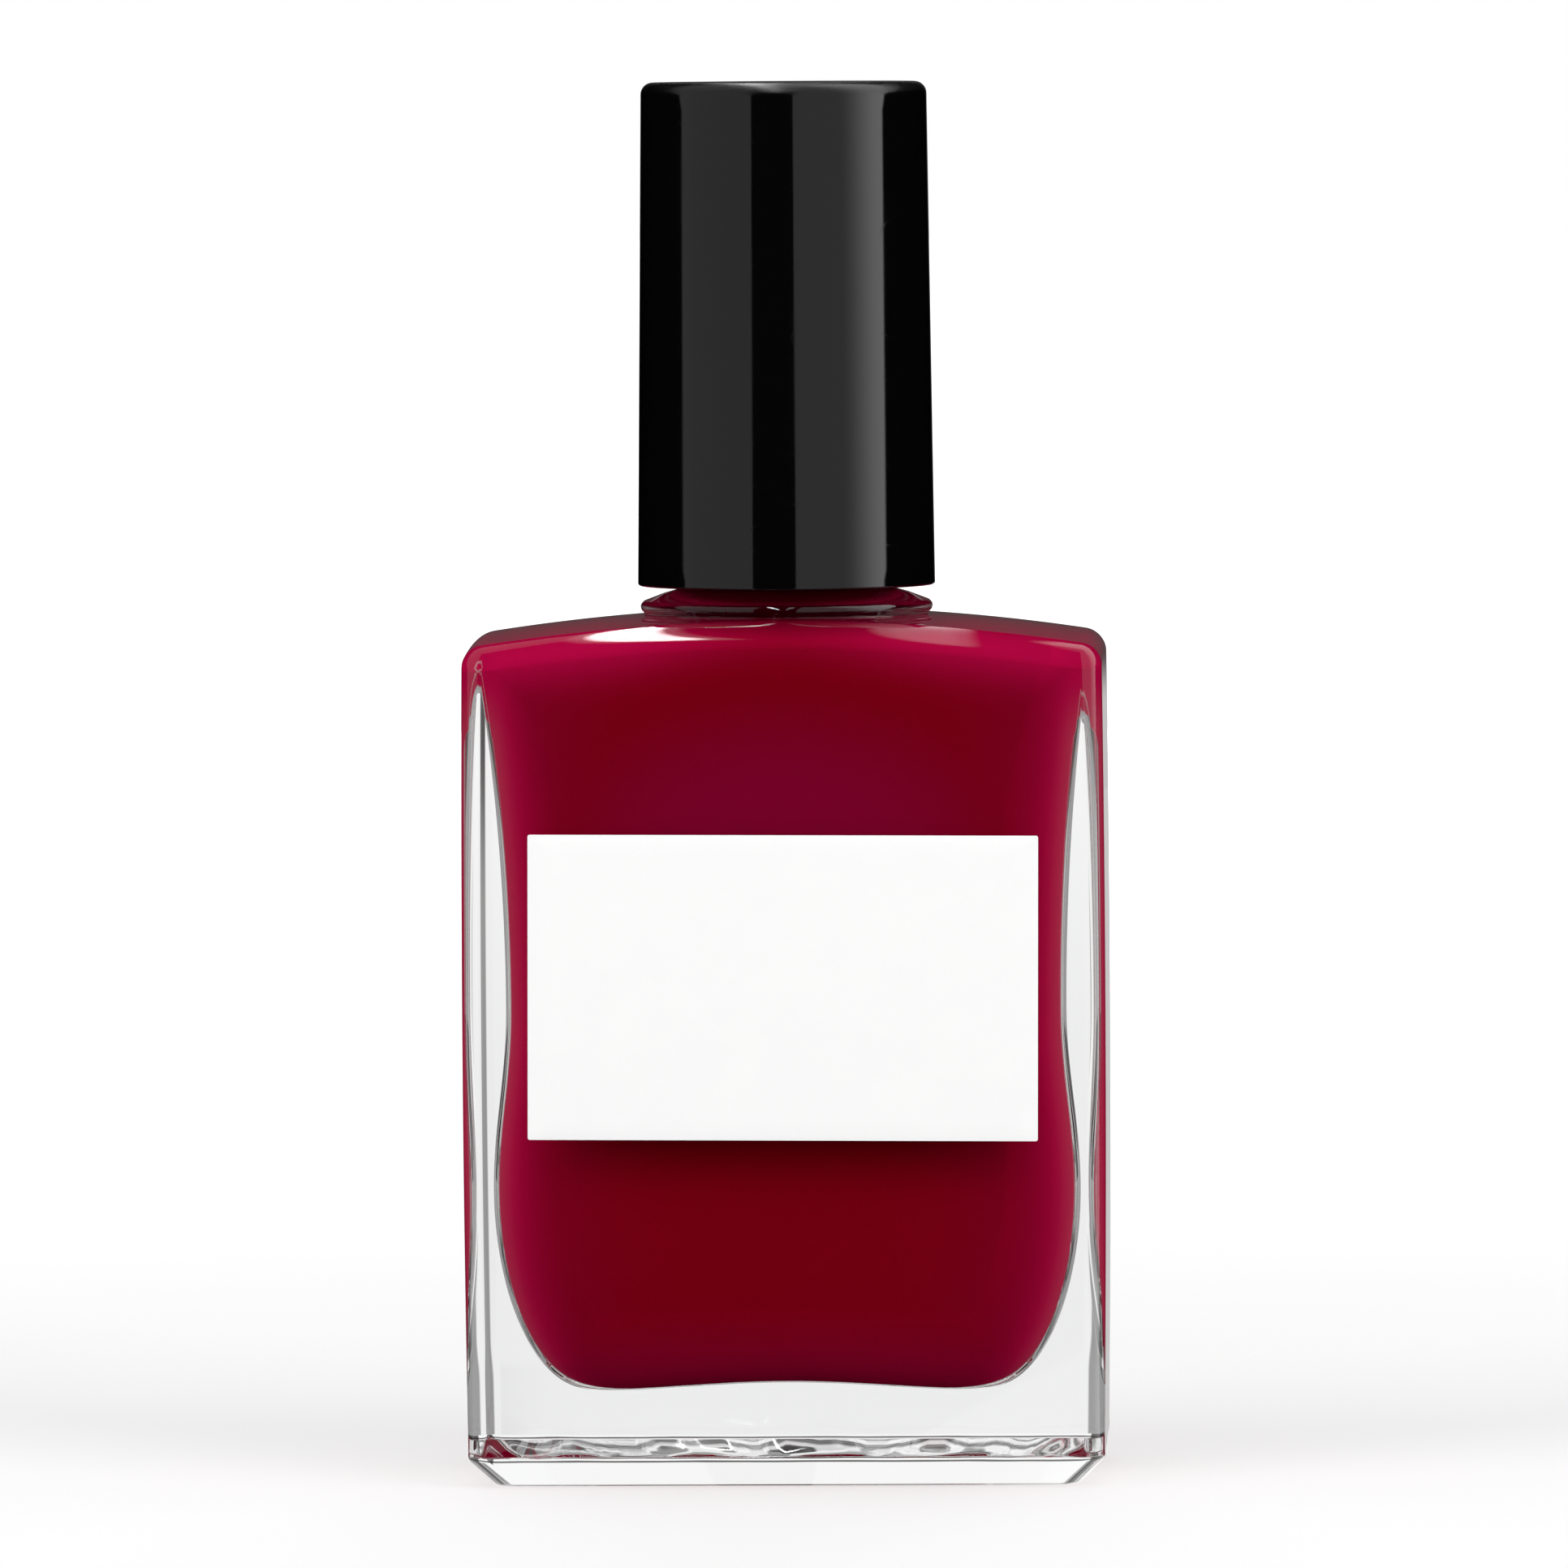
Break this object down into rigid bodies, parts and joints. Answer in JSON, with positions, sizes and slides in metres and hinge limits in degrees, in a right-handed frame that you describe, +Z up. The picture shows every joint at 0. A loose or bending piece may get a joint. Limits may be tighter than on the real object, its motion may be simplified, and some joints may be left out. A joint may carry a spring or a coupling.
{
  "type": "nail polish bottle",
  "caption": "Square-shouldered glass nail polish bottle with red lacquer, front label, tall black screw overcap and a brush that lifts out with it.",
  "frame": {"origin": "middle of the base, on the surface that the bottle stands on", "axes": "+Z up along the cap's axis, -Y towards the label on the front, +X to the right of someone who reads the label"},
  "size_m": [0.0342, 0.0201, 0.0749],
  "materials": {
    "clear_glass": "clear flint glass, thick and polished",
    "red_lacquer": "opaque deep red liquid, wet and glossy",
    "ball_steel": "polished stainless steel",
    "white_label": "smooth matt white",
    "black_cap": "black, high gloss, moulded",
    "inner_plastic": "black polypropylene, as moulded",
    "seal_foam": "soft white polyethylene foam",
    "stem_plastic": "black polyethylene, as moulded",
    "staple_metal": "plain stainless strip",
    "bristle_nylon": "fine black nylon filaments"
  },
  "bodies": {
    "bottle": {"glass_bottle": "clear_glass", "nail_lacquer": "red_lacquer", "mixing_ball_1": "ball_steel", "mixing_ball_2": "ball_steel", "front_label": "white_label"},
    "seal": {"seal_ring": "seal_foam"},
    "stem": {"brush_stem": "stem_plastic"},
    "closure": {"overcap": "black_cap", "inner_cap": "inner_plastic", "tuft_staple": "staple_metal", "bristle_tuft": "bristle_nylon"}
  },
  "joints": [
    {"name": "cap_lift", "type": "slide", "parent": "bottle", "child": "seal", "axis": [0, 0, 1], "range_m": [0, 0.06]},
    {"name": "thread_rise", "type": "slide", "parent": "seal", "child": "stem", "axis": [0, 0, 1], "range_m": [0, 0.0032]},
    {"name": "cap_turn", "type": "hinge", "parent": "stem", "child": "closure", "pos_m": [0, 0, 0.0575], "axis": [0, 0, 1], "range_deg": [0, 540]}
  ],
  "couplings": [
    {"joint": "thread_rise", "follows": "cap_turn", "m_per_rad": 0.00033693}
  ]
}
